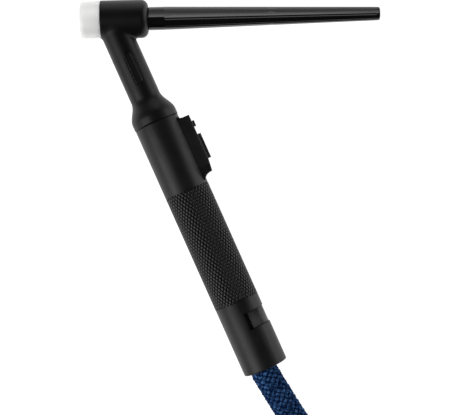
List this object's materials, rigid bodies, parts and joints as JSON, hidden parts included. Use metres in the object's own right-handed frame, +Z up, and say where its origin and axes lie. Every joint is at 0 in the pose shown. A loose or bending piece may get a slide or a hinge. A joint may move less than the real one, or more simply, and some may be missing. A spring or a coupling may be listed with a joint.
{
  "type": "tig torch",
  "caption": "TIG welding torch with a long fluted back cap, a knurled round handle with up and down switches, and a blue sleeved hose coiled to a central connector.",
  "frame": {"origin": "centre of the torch's box, at the surface it lies on; the hose, its coil and the connector are not counted", "axes": "the torch lies on its side: +X along the head towards the back cap, the handle runs towards -Y, +Z up"},
  "size_m": [0.2719, 0.5568, 0.071],
  "materials": {
    "insulator_ptfe": "milky fluoropolymer, slightly translucent",
    "body_brass": "machined",
    "cover_rubber": "matt moulded rubber",
    "neck_copper": "drawn copper tube",
    "cap_plastic": "glossy moulded plastic",
    "seal_rubber": "smooth rubber",
    "handle_plastic": "fine matt grain with a diamond knurl",
    "inner_plastic": "plain moulding",
    "switch_plastic": "fine matt grain",
    "button_rubber": "satin",
    "steel": "bright",
    "board": "solder resist",
    "switch_grey": "plain",
    "cable_rubber": "smooth",
    "lead_grey": "smooth",
    "hose_sleeve": "navy blue braided textile",
    "strap_webbing": "woven hook and loop tape",
    "boot_rubber": "matt",
    "plug_plastic": "fine matt grain",
    "nut_plastic": "ribbed moulding",
    "insert_plastic": "plain",
    "pin_brass": "turned",
    "contact_gold": "plated"
  },
  "bodies": {
    "torch": {"front_insulator": "insulator_ptfe", "torch_body": "body_brass", "head_cover": "cover_rubber", "neck_tube": "neck_copper", "neck_coupling": "inner_plastic", "handle_shell": "handle_plastic", "switch_housing": "switch_plastic", "switch_cover": "switch_plastic", "rocker_pin": "steel", "switch_board": "board", "small_switch": "switch_grey", "rocker_switches": "switch_grey", "housing_screws": "steel", "cable_fitting": "body_brass", "cable_ferrule": "steel", "power_cable": "cable_rubber", "control_lead": "lead_grey", "hose_support": "inner_plastic", "retaining_clip": "switch_plastic", "hose_lead": "hose_sleeve", "hose_coil": "hose_sleeve", "hose_tail": "hose_sleeve", "coil_straps": "strap_webbing", "plug_boot": "boot_rubber", "plug_body": "plug_plastic", "plug_insert": "insert_plastic", "plug_pin": "pin_brass", "plug_o_ring": "seal_rubber", "control_pins": "contact_gold"},
    "cap_carriage": {"back_cap_o_ring": "seal_rubber"},
    "back_cap": {"back_cap": "cap_plastic"},
    "small_button": {"small_button": "button_rubber"},
    "rocker": {"rocker_button": "button_rubber"},
    "plug_nut": {"plug_nut": "nut_plastic"}
  },
  "joints": [
    {"name": "cap_slide", "type": "slide", "parent": "torch", "child": "cap_carriage", "axis": [1, 0, 0], "range_m": [0, 0.0045]},
    {"name": "cap_turn", "type": "hinge", "parent": "cap_carriage", "child": "back_cap", "pos_m": [-0.0533, 0.11062, 0.0151], "axis": [1, 0, 0], "range_deg": [0, 1800]},
    {"name": "small_button_press", "type": "slide", "parent": "torch", "child": "small_button", "axis": [-0.9219, -0.3875, 0], "range_m": [0, 0.0008], "stiffness_N_per_m": 2500},
    {"name": "rocker_tilt", "type": "hinge", "parent": "torch", "child": "rocker", "pos_m": [-0.0212, 0.0263, 0.0151], "axis": [0, 0, 1], "range_deg": [-4, 4], "stiffness_Nm_per_rad": 0.2},
    {"name": "plug_nut_turn", "type": "hinge", "parent": "torch", "child": "plug_nut", "pos_m": [0.073, -0.355, 0.053], "axis": [0, -1, 0], "continuous": true}
  ],
  "couplings": [
    {"joint": "cap_slide", "follows": "cap_turn", "m_per_rad": 0.00012637}
  ]
}
